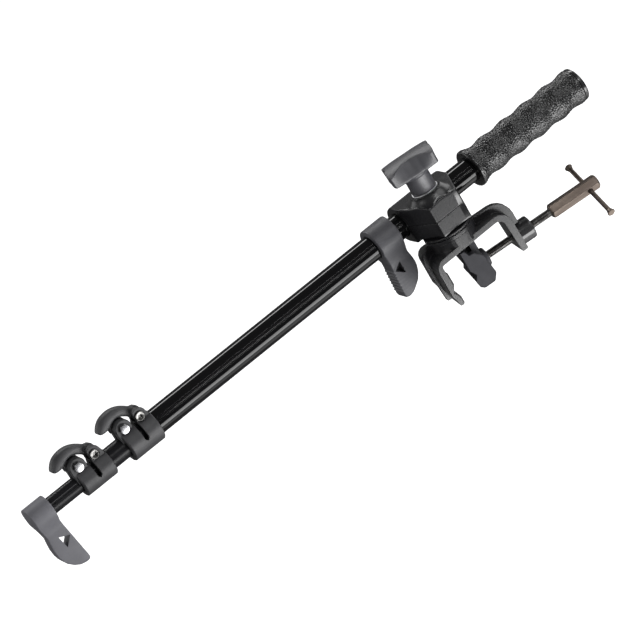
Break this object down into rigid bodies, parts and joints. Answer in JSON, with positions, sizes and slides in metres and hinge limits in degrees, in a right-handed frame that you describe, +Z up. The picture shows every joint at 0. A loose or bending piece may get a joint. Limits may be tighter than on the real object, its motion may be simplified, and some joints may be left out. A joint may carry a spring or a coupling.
{
  "type": "boom arm with clamp",
  "caption": "Telescopic boom arm with flip locks, a grip and reflector hooks, held in a swivel head on a screw clamp with V jaws.",
  "frame": {"origin": "centre of the fixed jaw's upper gripping land, the face that bears on the stand or pole", "axes": "+X along the clamp screw from the fixed jaw to its tommy bar, +Z up the swivel's axis to the knob, -Y towards the side that the picture shows"},
  "size_m": [0.6649, 0.1695, 0.1512],
  "materials": {
    "cast_paint": "black semi-gloss paint on casting",
    "zinc_steel": "bright zinc plated",
    "blackened_steel": "blackened, worn bright at edges",
    "gloss_tube": "gloss black anodised",
    "satin_tube": "satin black anodised",
    "knob_nylon": "textured dark grey nylon",
    "jaw_nylon": "fine textured dark grey nylon",
    "hook_nylon": "satin mid grey nylon",
    "black_nylon": "satin black nylon",
    "grip_skin": "grained black"
  },
  "bodies": {
    "clamp": {"clamp_frame": "cast_paint", "fixed_jaw_pad": "black_nylon", "clamp_rosette": "cast_paint", "swivel_stud": "zinc_steel"},
    "head": {"head_upper_half": "cast_paint", "head_lower_half": "cast_paint", "head_rosette": "cast_paint"},
    "knob_lift": {"knob_washer": "zinc_steel"},
    "knob": {"knob": "knob_nylon", "knob_insert": "zinc_steel"},
    "boom": {"main_tube": "gloss_tube", "grip": "grip_skin", "grip_end_cap": "black_nylon", "lock_2_collar": "black_nylon", "lock_2_lever_pin": "zinc_steel", "lock_2_clamp_bolt": "zinc_steel", "lock_2_clamp_nut": "zinc_steel"},
    "lever_2": {"lock_2_lever": "black_nylon"},
    "middle": {"middle_tube": "satin_tube", "middle_tube_bush": "black_nylon", "lock_1_collar": "black_nylon", "lock_1_lever_pin": "zinc_steel", "lock_1_clamp_bolt": "zinc_steel", "lock_1_clamp_nut": "zinc_steel"},
    "lever_1": {"lock_1_lever": "black_nylon"},
    "inner": {"inner_tube": "gloss_tube", "inner_tube_bush": "black_nylon", "end_hook": "hook_nylon", "end_hook_screw": "zinc_steel"},
    "sliding_hook": {"sliding_hook": "hook_nylon"},
    "jaw": {"moving_jaw": "jaw_nylon"},
    "spindle": {"spindle": "zinc_steel", "spindle_clip": "zinc_steel", "spindle_barrel": "blackened_steel"},
    "tommy_bar": {"tommy_bar": "blackened_steel", "tommy_bar_end_near": "blackened_steel", "tommy_bar_end_far": "blackened_steel"}
  },
  "joints": [
    {"name": "head_swivel", "type": "hinge", "parent": "clamp", "child": "head", "pos_m": [0.0261, 0, 0.048], "axis": [0, 0, 1], "range_deg": [-2, 36]},
    {"name": "knob_lift", "type": "slide", "parent": "head", "child": "knob_lift", "axis": [0, 0, 1], "range_m": [0, 0.003]},
    {"name": "knob_turn", "type": "hinge", "parent": "knob_lift", "child": "knob", "pos_m": [0.0261, 0, 0.095], "axis": [0, 0, 1], "range_deg": [0, 860]},
    {"name": "boom_slide", "type": "slide", "parent": "head", "child": "boom", "axis": [0.9781, 0.2079, 0], "range_m": [-0.026, 0.001]},
    {"name": "middle_slide", "type": "slide", "parent": "boom", "child": "middle", "axis": [0.9781, 0.2079, 0], "range_m": [-0.45, 0]},
    {"name": "inner_slide", "type": "slide", "parent": "middle", "child": "inner", "axis": [0.9781, 0.2079, 0], "range_m": [-0.48, 0]},
    {"name": "hook_slide", "type": "slide", "parent": "boom", "child": "sliding_hook", "axis": [0.9781, 0.2079, 0], "range_m": [-0.24, 0]},
    {"name": "lever_1_flip", "type": "hinge", "parent": "middle", "child": "lever_1", "pos_m": [-0.36378, -0.05118, 0.0644], "axis": [-0.2079, 0.9781, 0], "range_deg": [0, 50]},
    {"name": "lever_2_flip", "type": "hinge", "parent": "boom", "child": "lever_2", "pos_m": [-0.31096, -0.03995, 0.0656], "axis": [-0.2079, 0.9781, 0], "range_deg": [0, 88]},
    {"name": "jaw_slide", "type": "slide", "parent": "clamp", "child": "jaw", "axis": [1, 0, 0], "range_m": [-0.019, 0.022]},
    {"name": "spindle_turn", "type": "hinge", "parent": "jaw", "child": "spindle", "pos_m": [0.1, 0, -0.016], "axis": [1, 0, 0], "range_deg": [-5474, 6338]},
    {"name": "tommy_slide", "type": "slide", "parent": "spindle", "child": "tommy_bar", "axis": [0, -0.8854, -0.4648], "range_m": [-0.03, 0.021]}
  ],
  "couplings": [
    {"joint": "knob_lift", "follows": "knob_turn", "m_per_rad": 0.00019894},
    {"joint": "spindle_turn", "follows": "jaw_slide", "rad_per_m": 5026.5}
  ]
}
